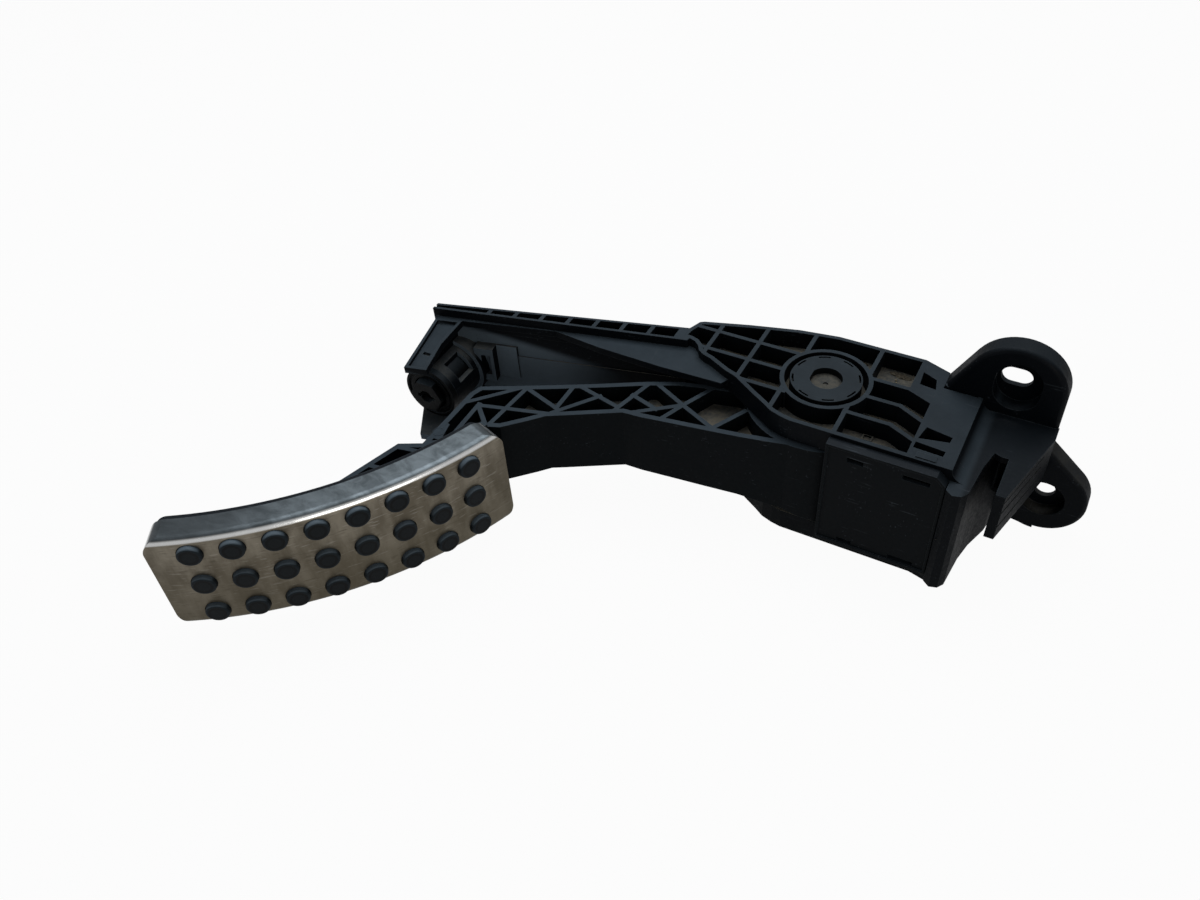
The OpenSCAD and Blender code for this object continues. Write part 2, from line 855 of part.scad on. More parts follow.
module shoe_spring() {
    color("#9a9da0")
        translate([core_r + 5.05, 0, mid_z])
            rotate([0, 90, 0])
                coil(4, 0.7, 37.4 - core_r - 5, 4);
}

module rest_bumper() {
    color("#121416")
        translate([0, 0, mid_z - 9])
            linear_extrude(18)
                intersection() {
                    difference() {
                        circle(r = hub_r - 0.5);
                        circle(r = max(core_r + 1, hub_r - 7.5));
                    }
                    polygon([[0, 0], 60 * [cos(292.2), sin(292.2)], 60 * [cos(302), sin(302)]]);
                }
}

// pad
module pad_sector(r0, r1, z0, z1, cut, er) {
    a0 = pad_a - pad_sweep / 2 + cut;
    translate([pad_c[0], pad_c[1], 0])
        rotate([0, 0, a0])
            rotate_extrude(angle = pad_sweep - 2 * cut, $fn = 360) {
                translate([r0, z0])
                    square([r1 - r0 - er, z1 - z0]);
                translate([r0, z0 + er])
                    square([r1 - r0, z1 - z0 - 2 * er]);
                for (z = [z0 + er, z1 - er])
                    translate([r1 - er, z])
                        circle(r = er, $fn = 32);
            }
}

// Cuts the four corners of the pad round, in the direction of the pad's radius.
module pad_corners(t) {
    r = corner_r - t;
    da = asin((corner_r) / pad_r);
    for (s = [-1, 1])
        for (k = [-1, 1])
            translate([pad_c[0], pad_c[1], pad_z0 + pad_w / 2])
                rotate([0, 0, pad_a + s * (pad_sweep / 2 - da)])
                    translate([0, 0, k * (pad_w / 2 - corner_r)])
                        rotate([0, 90, 0])
                            translate([0, 0, pad_r - 30])
                                linear_extrude(40)
                                    difference() {
                                        translate([k > 0 ? -20 - t : 0, s > 0 ? 0 : -20 - t])
                                            square(20 + t);
                                        circle(r = r + 0.06);
                                    }
}

module stud_at(i, j) {
    translate([pad_c[0], pad_c[1], pad_z0 + pad_w / 2 + row_pitch * (j - 1)])
        rotate([0, 0, pad_a - 0.07 + col_pitch * (i - 3.5)])
            rotate([0, 90, 0])
                children();
}

module pad_cover() {
    t = sheet_t;
    cut = t / pad_r * 180 / PI;
    color("#8a8478")
        difference() {
            pad_sector(pad_r - pad_depth, pad_r, pad_z0, pad_z0 + pad_w, 0, edge_r);
            pad_corners(0);
            difference() {
                pad_sector(pad_r - pad_depth - 1, pad_r - t, pad_z0 + t, pad_z0 + pad_w - t, cut,
                    edge_r - t);
                pad_corners(t);
            }
            for (i = [0:7])
                for (j = [0:2])
                    stud_at(i, j)
                        translate([0, 0, pad_r - 5])
                            cylinder(r = stud_r + stud_gap, h = 10);
        }
}

// Half section of a stud with a rounded rim.
module stud_half(h) {
    e = 1;
    square([stud_r, h - e]);
    square([stud_r - e, h]);
    intersection() {
        translate([stud_r - e, h - e])
            circle(r = e);
        square([stud_r, h]);
    }
}

module rubber_pad() {
    t = sheet_t + 0.1;
    cut = t / pad_r * 180 / PI;
    color("#141516")
        difference() {
            union() {
                difference() {
                    pad_sector(pad_r - pad_depth + 3, pad_r - t, pad_z0 + t, pad_z0 + pad_w - t,
                        cut, edge_r - t);
                    pad_corners(t);
                }
                for (i = [0:7])
                    for (j = [0:2])
                        stud_at(i, j)
                            translate([0, 0, pad_r - 6])
                                rotate_extrude()
                                    stud_half(6 + stud_h);
            }
        }
}

module pad_carrier() {
    t = sheet_t + 0.3;
    cut = t / pad_r * 180 / PI;
    r0 = pad_r - pad_depth;
    color("#17191b")
        difference() {
            pad_sector(r0 - 3.3, r0 + 3, pad_z0 + t, pad_z0 + pad_w - t, cut, 0.5);
            pad_corners(t);
            // open cells at the back of the free end
            for (i = [0:2])
                for (j = [0:2])
                    translate([pad_c[0], pad_c[1], pad_z0 + pad_w / 2 + row_pitch * (j - 1) * 0.88])
                        rotate([0, 0, -58 + i * 5.4])
                            rotate_extrude(angle = 4.4, $fn = 180)
                                translate([r0 - 6, -7])
                                    square([6, 14]);
        }
}

// kick-down
module kick_axis() {
    translate([kick_x, 0, kick_z])
        rotate([-90, 0, 0])
            children();
}

module kickdown_body() {
    r = kick_r - 2.5 - can_gap;
    color("#15181b")
        kick_axis()
            difference() {
                translate([0, 0, tube_end])
                    cylinder(r = r, h = -30 - tube_end);
                translate([0, 0, tube_end - 1])
                    cylinder(r = r - 1.2, h = -30 - tube_end - 0.5);
            }
}

module kickdown_cap() {
    color("#1b1e21")
        kick_axis()
            difference() {
                translate([0, 0, kick_face])
                    cylinder(r = kick_r, h = tube_end - kick_face, $fn = 96);
                translate([0, 0, kick_face - 1])
                    cylinder(r = hex_w / 2 / cos(30) + 0.3, h = 10);
                translate([0, 0, kick_face - 1])
                    difference() {
                        cylinder(r = kick_r - 1.4, h = 1.8);
                        translate([0, 0, -1])
                            cylinder(r = kick_r - 3, h = 5);
                    }
            }
}

module kickdown_plunger() {
    color("#222529")
        kick_axis()
            difference() {
                union() {
                    translate([0, 0, boss_face])
                        cylinder(r = hex_w / 2 / cos(30), h = tube_end + 1 - boss_face, $fn = 6);
                    translate([0, 0, tube_end + 0.1])
                        cylinder(r = kick_r - 4.2, h = 3);
                }
                translate([0, 0, boss_face - 1])
                    cylinder(r = 3.6, h = 4);
                translate([-5, -1.1, boss_face - 1])
                    cube([10, 2.2, 4]);
                translate([0, 0, boss_face + 6])
                    cylinder(r = 5, h = 20);
            }
}

module kickdown_spring() {
    color("#9a9da0")
        kick_axis()
            translate([0, 0, tube_end + 3.1])
                coil(7.4, wire_r, -31.5 - tube_end - 3.1, 7);
}

housing();
sensor_cover();
cover_seal();
circuit_board();
sensor_chip_a();
sensor_chip_b();
connector_pins();
pivot_pin();
bush_upper();
bush_lower();
retaining_clip();
pivot_cap();
pedal_arm();
rotor_magnet();
return_spring_outer();
return_spring_inner();
friction_shoe();
shoe_spring();
rest_bumper();
pad_carrier();
rubber_pad();
pad_cover();
kickdown_body();
kickdown_cap();
kickdown_plunger();
kickdown_spring();
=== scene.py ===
# %% [markdown]
# # A used accelerator pedal module
# The module lies on its side cheek, as it would on a parts shelf. A black moulded housing holds a
# truss arm on a pivot, and the arm carries a curved metal pad with rubber studs. The solids come
# from the part's own source, so this lesson is about light, about the finishes of used plastic,
# sheet metal and rubber, and about the small trim that the solids leave out.

# %% Frame
import math
import bpy
from mathutils import Matrix, Vector


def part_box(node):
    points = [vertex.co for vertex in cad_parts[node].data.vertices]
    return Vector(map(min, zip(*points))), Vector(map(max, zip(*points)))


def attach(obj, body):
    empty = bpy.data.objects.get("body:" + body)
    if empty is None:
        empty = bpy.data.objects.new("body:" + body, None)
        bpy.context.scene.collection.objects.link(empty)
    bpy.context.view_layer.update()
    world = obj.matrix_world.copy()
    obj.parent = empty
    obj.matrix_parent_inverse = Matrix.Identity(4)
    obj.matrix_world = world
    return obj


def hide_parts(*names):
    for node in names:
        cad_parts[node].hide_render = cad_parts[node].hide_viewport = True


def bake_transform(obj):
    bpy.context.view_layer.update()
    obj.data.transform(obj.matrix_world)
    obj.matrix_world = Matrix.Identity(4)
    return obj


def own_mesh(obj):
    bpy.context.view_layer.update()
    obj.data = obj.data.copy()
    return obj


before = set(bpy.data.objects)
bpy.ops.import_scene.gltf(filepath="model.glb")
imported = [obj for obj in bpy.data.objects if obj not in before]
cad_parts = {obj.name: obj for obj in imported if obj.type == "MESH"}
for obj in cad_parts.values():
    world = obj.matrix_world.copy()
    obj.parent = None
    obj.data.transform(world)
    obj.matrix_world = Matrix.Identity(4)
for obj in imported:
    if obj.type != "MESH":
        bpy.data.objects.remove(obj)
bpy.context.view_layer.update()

# %% [markdown]
# The camera stands where the photographer stood: about half a metre off, in front of the pad's
# side, looking down at 44 degrees. The place and tilt were found from straight edges of the
# housing whose directions are known, so the view's lines converge as they do in the picture.

# %% Camera
eye = Vector((0.09635, -0.34754, 0.3680))
forward = Vector((-0.38290, 0.60973, -0.69399)).normalized()
roll = math.radians(4.61)
level = forward.cross(Vector((0, 0, 1))).normalized()
upright = level.cross(forward)
right = level * math.cos(roll) - upright * math.sin(roll)
up = level * math.sin(roll) + upright * math.cos(roll)
lens = bpy.data.cameras.new("view")
lens.sensor_width = 36
lens.lens = 30.72
lens.clip_start = 0.01
view = bpy.data.objects.new("view", lens)
bpy.context.scene.collection.objects.link(view)
turn = Matrix((right, up, -forward)).transposed().to_4x4()
view.matrix_world = Matrix.Translation(eye) @ turn
bpy.context.scene.camera = view
print("camera at", [round(v, 3) for v in eye])


# %% [markdown]
# Black plastic shows little colour of its own, so its shape is read from the soft reflections on
# it. One big lamp overhead lights the faces that look up, and the finishes paint a pale blue-grey top
# light on them as well; a weaker lamp from the driver's side draws the pad, a third draws the pad's
# end, and a faint world fills the rest.

# %% Light
def soft_lamp(name, place, target, size, watts, tint):
    lamp = bpy.data.lights.new(name, "AREA")
    lamp.shape = "RECTANGLE"
    lamp.size = size[0]
    lamp.size_y = size[1]
    lamp.energy = watts
    lamp.color = tint
    stand = bpy.data.objects.new(name, lamp)
    bpy.context.scene.collection.objects.link(stand)
    stand.location = place
    aim = Vector(target) - Vector(place)
    stand.rotation_euler = aim.to_track_quat("-Z", "Y").to_euler()
    return stand


lamps = [
    soft_lamp("overhead", (-0.15, 0.35, 1.1), (-0.03, -0.05, 0.03), (1.1, 0.8), 11, (0.92, 0.96, 1.0)),
    soft_lamp("driver_side", (0.75, -0.75, 0.45), (-0.05, -0.1, 0.03), (0.6, 0.6), 2.2, (1.0, 0.97, 0.93)),
    soft_lamp("left_side", (-0.9, -0.5, 0.5), (-0.12, -0.1, 0.03), (0.5, 0.5), 1.5, (0.95, 0.97, 1.0))]
print("lamps:", len(lamps))

# %% [markdown]
# A finish is a small network of nodes. One function turns a hex colour to linear light, one adds a
# node with its settings and links, and one starts an empty material. The scale of a noise is 1000
# over the size of its lumps in millimetres, because an object's coordinates are in metres.


# %% Colours, nodes and new materials
def srgb(code):
    """A hex colour such as 8b8378 as linear red, green, blue and alpha."""
    parts = [int(code[i:i + 2], 16) / 255 for i in (0, 2, 4)]
    return [p / 12.92 if p <= 0.04045 else ((p + 0.055) / 1.055) ** 2.4 for p in parts] + [1.0]


def node(tree, kind, *values, out=None, **settings):
    """Adds a node and gives back its first output in use, or the one that out names. The values go
    to the inputs in use, in their order, and the settings to properties and inputs by name. What
    goes to an input is a socket to link, a number or a hex colour."""
    made = tree.nodes.new("ShaderNode" + kind)
    for key in [key for key in settings if hasattr(made, key)]:
        setattr(made, key, settings.pop(key))
    in_use = [socket for socket in made.inputs if socket.enabled]
    named = [(made.inputs[key.replace("_", " ")], value) for key, value in settings.items()]
    for socket, value in list(zip(in_use, values)) + named:
        if isinstance(value, bpy.types.NodeSocket):
            tree.links.new(value, socket)
        else:
            socket.default_value = srgb(value) if isinstance(value, str) else value
    if out:
        return made.outputs[out]
    return next((socket for socket in made.outputs if socket.enabled), None)


def fresh_material(name):
    mat = bpy.data.materials.new(name)
    mat.use_nodes = True
    mat.node_tree.nodes.clear()
    return mat, mat.node_tree


# settings that many nodes share
smooth = {"interpolation_type": "SMOOTHSTEP"}
times = {"operation": "MULTIPLY"}
plus = {"operation": "ADD"}
minus = {"operation": "SUBTRACT"}
colours = {"data_type": "RGBA"}
print("node helpers ready")

# %% [markdown]
# Wear, dust and painted light follow what a shader can know from the piece itself: where a point
# lies on it, which way its face looks, and whether an edge is near. An edge is where the normal of a
# slightly rounded surface turns away from the true one.


# %% Places and edges
def bearings(tree):
    """A point's place on its piece in metres, that place's X, Y and Z, and those of its normal."""
    place = node(tree, "TexCoord", out="Object")
    spot = node(tree, "SeparateXYZ", place).node.outputs
    way = node(tree, "SeparateXYZ", node(tree, "TexCoord", out="Normal")).node.outputs
    return place, spot, way


def rounded_edges(tree, radius):
    """The normal as if edges had this radius in metres, and how far it agrees with the true one."""
    rounded = node(tree, "Bevel", samples=6, Radius=radius)
    flat = node(tree, "NewGeometry", out="Normal")
    return rounded, node(tree, "VectorMath", rounded, flat, operation="DOT_PRODUCT")


print("place and edge helpers ready")

# %% [markdown]
# The housing and the arm are glass-filled nylon: black pigment right through, a surface with the
# fine grain of the eroded steel mould, and a broad, soft sheen. All that faces up gets a painted top
# light, a blue-grey that stands for the overhead lamp's sheen, so the sides stay black. Thicker brown
# dust is left in the cells, where nothing wipes it away. Its parts are made first, each by its own
# function.


# %% Scratches, brown dust and the painted sheen on the wall
def scratch_lines(tree, place, cloud):
    """Long thin lines in two directions, in patches."""
    leaning = node(tree, "Mapping", place, Rotation=(0.3, 0.2, 0.5), Scale=(0.05, 1, 1))
    leaning = node(tree, "TexNoise", leaning, Scale=1000 / 0.7, Detail=1, Roughness=0.4)
    leaning = node(tree, "MapRange", leaning, 0.70, 0.73, **smooth)
    steep = node(tree, "Mapping", place, Rotation=(0.1, 0.4, -0.3), Scale=(1, 0.05, 0.6))
    steep = node(tree, "TexNoise", steep, Scale=1000 / 0.8, Detail=1, Roughness=0.4)
    steep = node(tree, "MapRange", steep, 0.71, 0.74, **smooth)
    lines = node(tree, "Math", leaning, steep, operation="MAXIMUM")
    patches = node(tree, "MapRange", cloud, 0.45, 0.6, **smooth)
    return node(tree, "Math", lines, patches, **times)


def settled_dust(tree, spot, cloud, fine, low_mm, high_mm):
    """Dust in patches: full below the first height, none above the second."""
    deep = node(tree, "MapRange", spot["Z"], low_mm / 1000, high_mm / 1000, 1.0, 0.0, **smooth)
    patches = node(tree, "Math", node(tree, "Math", cloud, 0.7, **times),
                   node(tree, "Math", fine, 0.5, **times), **plus)
    patches = node(tree, "MapRange", patches, 0.42, 0.72, 0.25, 1.0, **smooth)
    # feet sweep the end by the pad, so less dust stays there
    swept = node(tree, "MapRange", spot["X"], -0.165, -0.150, 0.35, 1.0, **smooth)
    return node(tree, "Math", node(tree, "Math", deep, patches, **times), swept, **times)


def painted_wall_sheen(tree, spot, way):
    """Painted sheen on the lower left of the spine's wall behind the arm, standing for light on that wall.
    """
    wall = node(tree, "MapRange", way["Y"], -0.985, -0.95, 1.0, 0.0, **smooth)
    upright_face = node(tree, "MapRange", way["Z"], 0.05, 0.1, 1.0, 0.0, **smooth)
    slope = node(tree, "Math", spot["Z"], node(tree, "Math", spot["X"], 0.225, **times), **plus)
    low = node(tree, "MapRange", slope, 0.0165, 0.0215, 1.0, 0.0, **smooth)
    left = node(tree, "MapRange", spot["X"], -0.138, -0.094, 1.0, 0.0, **smooth)
    return node(tree, "Math", node(tree, "Math", wall, upright_face, **times),
                node(tree, "Math", low, left, **times), **times)


print("nylon's wear ready")

# %% [markdown]
# The finish lays these over each other in this order: black nylon, the painted top light on what
# faces up, the painted sheen on the spine's wall, scratches, rubbed edges, and dust on top. Dust also
# dulls the gloss and raises the surface a little.

# %% Moulded nylon
scratch_grey = "3c4146"
rubbed_grey = "4a5258"
brown_dust = "6b6559"


def nylon(name, side, top_light_grey, dust_low, dust_high, dust=0.8, scratches=0.5, rough=0.5, reach=1,
          wall_sheen_grey=None):
    """The first colour is for upright faces, and the second is a painted top light, the overhead lamp's
    sheen, on faces that look up. Dust is full below the height dust_low and ends at dust_high, in mm.
    Past the X of reach, in metres, the painted top light and the dust are thin. The wall colour, which
    only the housing has, is a painted sheen on the lower left of the spine's wall."""
    mat, tree = fresh_material(name)
    place, spot, way = bearings(tree)
    cloud = node(tree, "TexNoise", place, Scale=1000 / 14, Detail=5, Roughness=0.6)
    fine = node(tree, "TexNoise", place, Scale=1000 / 1.6, Detail=3, Roughness=0.6)
    grain = node(tree, "TexNoise", place, Scale=1000 / 0.5, Detail=2, Roughness=0.5)
    within = node(tree, "MapRange", spot["X"], reach, reach + 0.003, 1.0, 0.25, **smooth)
    # on the ears, which stand up higher than the rest, dust and painted top light have one even strength
    ear = node(tree, "MapRange", spot["Z"], 0.0700, 0.0715, **smooth)
    within = node(tree, "Mix", ear, within, 0.4)
    looks_up = node(tree, "MapRange", way["Z"], 0.5, 0.95, **smooth)
    looks_up = node(tree, "Math", looks_up, within, **times)
    settled = settled_dust(tree, spot, cloud, fine, dust_low, dust_high)
    settled = node(tree, "Math", node(tree, "Math", looks_up, settled, **times), dust, **times)
    lines = node(tree, "Math", scratch_lines(tree, place, cloud), scratches, **times)
    bevelled, alike = rounded_edges(tree, 0.0005)
    rubbed = node(tree, "Math", node(tree, "MapRange", alike, 0.80, 0.985, 0.6, 0.0, **smooth),
                  node(tree, "MapRange", way["Z"], -0.2, 0.6, 0.25, 1.0, **smooth), **times)
    cloudy = node(tree, "MapRange", cloud, 0.25, 0.75, 0.75, 1.0, **smooth)
    # painted top light: faces that look up turn blue-grey, as the overhead lamp would light them
    painted_top_light = node(tree, "Math", looks_up, cloudy, **times)
    # the painted top light is a little weaker towards the end by the ears
    top_light_fade = node(tree, "MapRange", spot["X"], 0.005, 0.035, 1.0, 0.78, **smooth)
    painted_top_light = node(tree, "Math", painted_top_light, top_light_fade, **times)
    colour = node(tree, "Mix", painted_top_light, side, top_light_grey, **colours)
    # painted sheen: the lower left of the spine's wall turns pale grey, standing for light on that wall
    if wall_sheen_grey:
        colour = node(tree, "Mix", painted_wall_sheen(tree, spot, way), colour, wall_sheen_grey, **colours)
    colour = node(tree, "Mix", lines, colour, scratch_grey, **colours)
    colour = node(tree, "Mix", rubbed, colour, rubbed_grey, **colours)
    colour = node(tree, "Mix", settled, colour, brown_dust, **colours)
    gloss = node(tree, "MapRange", fine, 0.3, 0.7, rough - 0.06, rough + 0.08, **smooth)
    gloss = node(tree, "Math", gloss, node(tree, "Math", settled, 0.4, **times), **plus)
    lumps = node(tree, "Math", node(tree, "Math", grain, 0.6, **times),
                 node(tree, "Math", settled, 1.2, **times), **plus)
    bump = node(tree, "Bump", Height=lumps, Normal=bevelled, Strength=0.35, Distance=0.00012)
    skin = node(tree, "BsdfPrincipled", Base_Color=colour, Roughness=gloss, Normal=bump,
                Specular_IOR_Level=0.06)
    node(tree, "OutputMaterial", Surface=skin)
    return mat


# the second colour of each is the painted top light for the faces that look up
housing_nylon = nylon("glass_filled_nylon_housing", "05080c", "31393f", 60.0, 61.5, reach=0.070,
                      wall_sheen_grey="6d7a84")
arm_nylon = nylon("glass_filled_nylon_arm", "05090c", "363f46", 48.5, 54, 0.9)
cover_nylon = nylon("polished_nylon_cover", "070b0e", "23282d", 2, 6, 0.2, 0.9, 0.42)
cap_nylon = nylon("turned_nylon_cap", "080a0b", "2b3237", 64.8, 66.2, 0.6, 0.4, 0.45)
plunger_nylon = nylon("turned_nylon_plunger", "070809", "262d32", 30, 46, 0.2, 0.3, 0.45)
carrier_nylon = nylon("glass_filled_nylon_carrier", "0c0e10", "1e2226", 12, 14, 0.3)
print("nylon finishes:", 6)

# %% [markdown]
# The pad's cover is pressed from stainless sheet. Shoes have worn its face satin and warm grey, its
# side is cooler and has short swirls where hands held it, and the bend between them carries a painted
# highlight, a narrow near-white line that stands for the lamps' reflection. Metal keeps its default
# index of refraction; only its colour, its roughness and its bump change over the surface.


# %% The colours of worn sheet metal
def worn_face(tree, place, spot, cloud, smear):
    """The face under the shoe: grime in clouds, scuffs of grit, and darker towards the bottom."""
    grime = node(tree, "Math", node(tree, "Math", cloud, 0.7, **times),
                 node(tree, "Math", smear, 0.4, **times), **plus)
    grime = node(tree, "MapRange", grime, 0.40, 0.68, **smooth)
    face = node(tree, "Mix", grime, "8c8475", "696153", **colours)
    # scuffs are short fine lines, some rubbed bright and some dark
    scuff = node(tree, "Mapping", place, Rotation=(0.2, 0.1, 0.7), Scale=(0.12, 0.12, 1))
    scuff = node(tree, "TexNoise", scuff, Scale=1000 / 0.9, Detail=2, Roughness=0.5)
    bright = node(tree, "MapRange", scuff, 0.60, 0.70, 0.0, 0.45, **smooth)
    dark = node(tree, "MapRange", scuff, 0.30, 0.38, 0.45, 0.0, **smooth)
    low = node(tree, "MapRange", spot["Z"], 0.012, 0.062, 0.55, 0.0, **smooth)
    face = node(tree, "Mix", bright, face, "a8a297", **colours)
    face = node(tree, "Mix", dark, face, "4d473d", **colours)
    return node(tree, "Mix", low, face, "57503f", **colours)


def handled_side(tree, place, spot):
    """The side that hands have held: cool grey with short swirls, darker at the pad's far end."""
    swirl = node(tree, "Mapping", place, Rotation=(0, 0, 0.7), Scale=(0.5, 1, 1))
    swirl = node(tree, "TexNoise", swirl, Scale=170, Detail=7, Roughness=0.62, Distortion=0.6)
    swirl = node(tree, "MapRange", swirl, 0.32, 0.72, **smooth)
    side = node(tree, "Mix", swirl, "60676b", "42484b", **colours)
    far_end = node(tree, "MapRange", spot["X"], -0.200, -0.165, 0.7, 0.0, **smooth)
    return node(tree, "Mix", far_end, side, "3e4346", **colours)


print("sheet metal's wear ready")


# %% Worn sheet metal
def worn_sheet(name):
    mat, tree = fresh_material(name)
    place, spot, way = bearings(tree)
    cloud = node(tree, "TexNoise", place, Scale=1000 / 30, Detail=5, Roughness=0.6)
    smear = node(tree, "Mapping", place, Rotation=(0, 0, 0.8), Scale=(1, 1, 0.25))
    smear = node(tree, "TexNoise", smear, Scale=1000 / 6, Detail=4, Roughness=0.6)
    speck = node(tree, "TexNoise", place, Scale=1000 / 0.9, Detail=3, Roughness=0.7)
    colour = node(tree, "Mix", node(tree, "MapRange", way["Z"], 0.45, 0.9, **smooth),
                  worn_face(tree, place, spot, cloud, smear), handled_side(tree, place, spot), **colours)
    # painted highlight: a narrow near-white line along the bend, where the lamps' reflection lies
    bend_highlight = node(tree, "Math", node(tree, "MapRange", way["Z"], 0.34, 0.52, **smooth),
                node(tree, "MapRange", way["Z"], 0.66, 0.84, 1.0, 0.0, **smooth), **times)
    colour = node(tree, "Mix", bend_highlight, colour, "f8f8f6", **colours)
    specks = node(tree, "MapRange", speck, 0.64, 0.74, 0.0, 0.5, **smooth)
    colour = node(tree, "Mix", specks, colour, "3e3a34", **colours)
    gloss = node(tree, "MapRange", smear, 0.3, 0.7, 0.36, 0.48, **smooth)
    gloss = node(tree, "Math", gloss, node(tree, "Math", bend_highlight, 0.22, **times), **minus)
    lumps = node(tree, "Math", node(tree, "Math", smear, 0.8, **times),
                 node(tree, "Math", speck, 0.4, **times), **plus)
    bump = node(tree, "Bump", Height=lumps, Strength=0.25, Distance=0.00012)
    skin = node(tree, "BsdfPrincipled", Base_Color=colour, Roughness=gloss, Normal=bump, Metallic=0.9)
    node(tree, "OutputMaterial", Surface=skin)
    return mat


pad_sheet = worn_sheet("satin_stainless_sheet")
print("sheet metal ready")

# %% [markdown]
# The studs, the bumper and the seal are black rubber: matt, with dust in its fine pores, and with a
# painted top light, a blue-grey on what looks up, and a painted highlight on the rims of the studs.
# Each stud is dished: a grey middle, a dark groove around it, and a lighter ring outside that. The
# studs stand on a cylinder, so a point's angle and height on it give its distance from the middle of
# the nearest stud, and the rings are drawn by that distance.

# %% Distance from a stud
# the cylinder's axis in metres, and the rows of studs by angle in degrees and by height in metres
pad_axis_x, pad_axis_y = -0.3200, -0.0240
angle_step, angle_step_mm = 4.58, 17.2
stud_angle = -39.07 + angle_step / 2
height_step, height_step_mm = 0.0185, 18.5
stud_height = 0.039


def from_stud(tree, spot):
    """Distance in mm from the middle of the nearest stud."""
    turn = node(tree, "Math", node(tree, "Math", spot["Y"], -pad_axis_y, **plus),
                node(tree, "Math", spot["X"], -pad_axis_x, **plus), operation="ARCTAN2")
    degrees = node(tree, "Math", turn, 180 / math.pi, **times)
    squares = []
    for value, at_stud, step, step_mm in ((degrees, stud_angle, angle_step, angle_step_mm),
                                          (spot["Z"], stud_height, height_step, height_step_mm)):
        steps = node(tree, "Math", value, at_stud, **minus)
        steps = node(tree, "Math", steps, step, operation="DIVIDE")
        off = node(tree, "Math", steps, node(tree, "Math", steps, operation="ROUND"), **minus)
        off = node(tree, "Math", off, step_mm, **times)
        squares.append(node(tree, "Math", off, off, **times))
    return node(tree, "Math", node(tree, "Math", *squares, **plus), operation="SQRT")


print("studs every", angle_step, "degrees and every", height_step_mm, "mm")


# %% Rubber
def rubber(name, studs=False):
    mat, tree = fresh_material(name)
    place, spot, way = bearings(tree)
    cloud = node(tree, "TexNoise", place, Scale=1000 / 9, Detail=4, Roughness=0.6)
    pore = node(tree, "TexNoise", place, Scale=1000 / 0.6, Detail=2, Roughness=0.6)
    cloudy = node(tree, "MapRange", cloud, 0.4, 0.7, 0.0, 0.8, **smooth)
    colour = node(tree, "Mix", cloudy, "050708", "0b0f11", **colours)
    # painted top light: what looks up turns blue-grey, as the overhead lamp would make it
    looks_up = node(tree, "MapRange", way["Z"], 0.15, 0.8, **smooth)
    colour = node(tree, "Mix", looks_up, colour, "525d65", **colours)
    # painted highlight: the rims of the studs are lighter, as if lit from above
    rim_highlight = node(tree, "MapRange", rounded_edges(tree, 0.0011)[1], 0.86, 0.995, 0.8, 0.0, **smooth)
    colour = node(tree, "Mix", rim_highlight, colour, "2b343a", **colours)
    if studs:
        out = from_stud(tree, spot)
        # from the middle out: a grey middle, a dark groove, and a lighter ring where the face does not look
        # up
        middle = node(tree, "MapRange", out, 2.5, 3.1, 0.8, 0.0, **smooth)
        colour = node(tree, "Mix", middle, colour, "14191c", **colours)
        outer_ring = node(tree, "Math", node(tree, "MapRange", out, 3.7, 4.2, 0.0, 0.8, **smooth),
                         node(tree, "MapRange", way["Z"], 0.3, 0.6, 1.0, 0.0, **smooth), **times)
        colour = node(tree, "Mix", outer_ring, colour, "1b2328", **colours)
    gloss = node(tree, "MapRange", pore, 0.3, 0.7, 0.40, 0.54, **smooth)
    bump = node(tree, "Bump", Height=pore, Strength=0.3, Distance=0.0001)
    skin = node(tree, "BsdfPrincipled", Base_Color=colour, Roughness=gloss, Normal=bump,
                Specular_IOR_Level=0.12)
    node(tree, "OutputMaterial", Surface=skin)
    return mat


soft_rubber = rubber("moulded_rubber")
stud_rubber = rubber("moulded_rubber_studs", studs=True)
print("rubber finishes:", 2)


# %% [markdown]
# Inside there are ground steel, sintered bronze, spring wire, tinned brass, acetal and epoxy
# board. Each is a simple metal or plastic with a grain of its own, since these parts stay clean.

# %% Clean inner materials
def clean(name, dark, pale, rough, metal, grain_mm):
    mat, tree = fresh_material(name)
    place = node(tree, "TexCoord", out="Object")
    grain = node(tree, "TexNoise", place, Scale=1000 / grain_mm, Detail=3, Roughness=0.6)
    shade = node(tree, "MapRange", grain, 0.35, 0.65, **smooth)
    colour = node(tree, "Mix", shade, dark, pale, **colours)
    gloss = node(tree, "MapRange", grain, 0.3, 0.7, rough - 0.05, rough + 0.07, **smooth)
    bump = node(tree, "Bump", Height=grain, Strength=0.2, Distance=0.0001)
    skin = node(tree, "BsdfPrincipled", Base_Color=colour, Roughness=gloss, Normal=bump, Metallic=metal)
    node(tree, "OutputMaterial", Surface=skin)
    return mat


ground_steel = clean("ground_steel", "8b8c8e", "b4b5b6", 0.28, 1.0, 1.5)
spring_wire = clean("oiled_spring_wire", "55575b", "83858a", 0.35, 1.0, 1.0)
bronze = clean("sintered_bronze", "7c6c4f", "a18d66", 0.5, 1.0, 0.4)
brass = clean("tinned_brass", "b39a5c", "cdbb86", 0.3, 1.0, 1.0)
acetal = clean("moulded_acetal", "3a3a35", "4a4a44", 0.4, 0.0, 2.0)
laminate = clean("epoxy_laminate", "1c5236", "25663f", 0.35, 0.0, 0.8)
epoxy = clean("moulded_epoxy", "141414", "1f1f1f", 0.5, 0.0, 0.4)
ferrite = clean("pressed_ferrite", "4a4b4e", "5e5f62", 0.5, 0.6, 0.5)
print("clean finishes:", 8)


# %% Dressing the solids
def paint(thing, mat):
    thing.data.materials.clear()
    thing.data.materials.append(mat)


